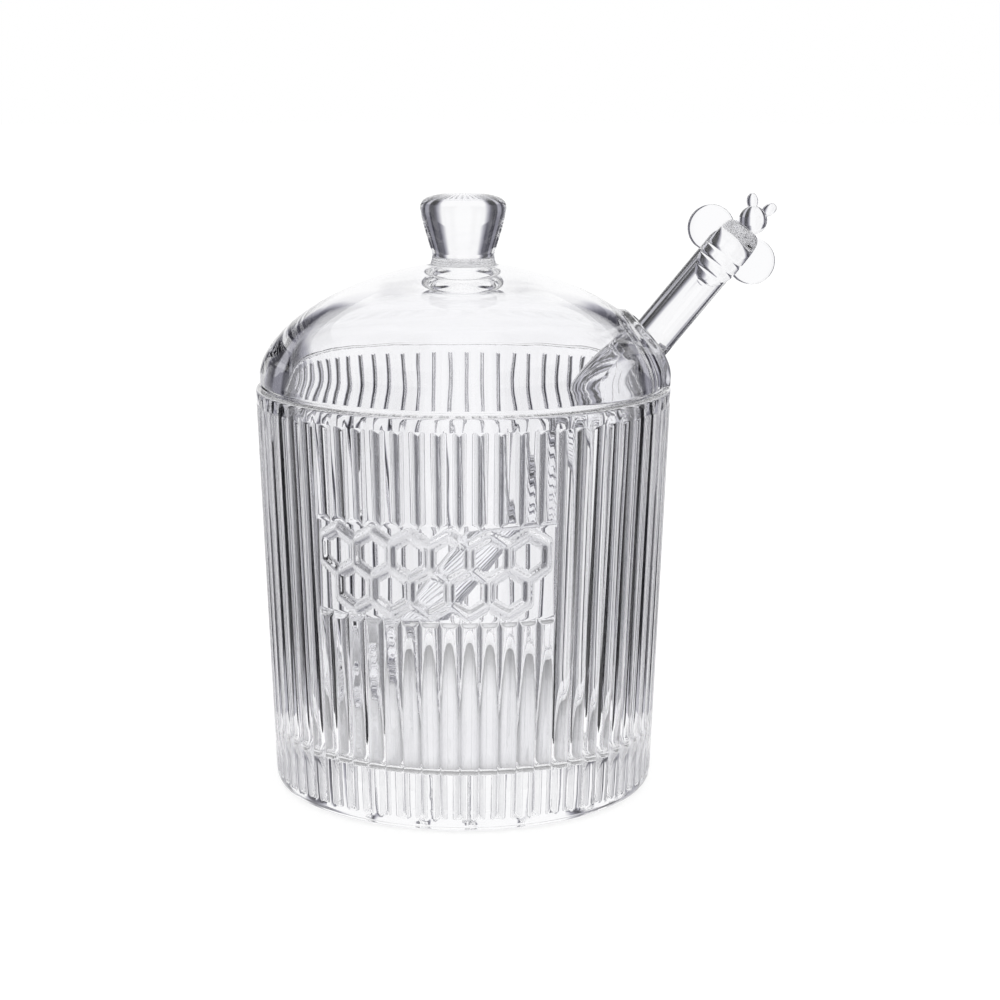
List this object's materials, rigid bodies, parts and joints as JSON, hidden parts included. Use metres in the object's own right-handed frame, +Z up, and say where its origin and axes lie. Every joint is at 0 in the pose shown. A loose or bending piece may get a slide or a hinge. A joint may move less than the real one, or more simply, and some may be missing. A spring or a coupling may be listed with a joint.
{
  "type": "honey pot",
  "caption": "Clear pressed-glass honey pot: reeded wall, domed lid with a solid knob, and a glass dipper topped by a bee that leans out through a slot in the lid's edge.",
  "frame": {"origin": "centre of the pot's flat base, on the pot's axis, where it stands on the table", "axes": "+Z up along the pot's axis; -Y to the front, which the panel and the bee face; +X to the side that the dipper leans to"},
  "size_m": [0.1242, 0.1, 0.1438],
  "materials": {
    "clear_glass": "clear colourless pressed glass, fire polished"
  },
  "bodies": {
    "root": {"pot": "clear_glass", "lid": "clear_glass", "dipper": "clear_glass"}
  },
  "joints": []
}
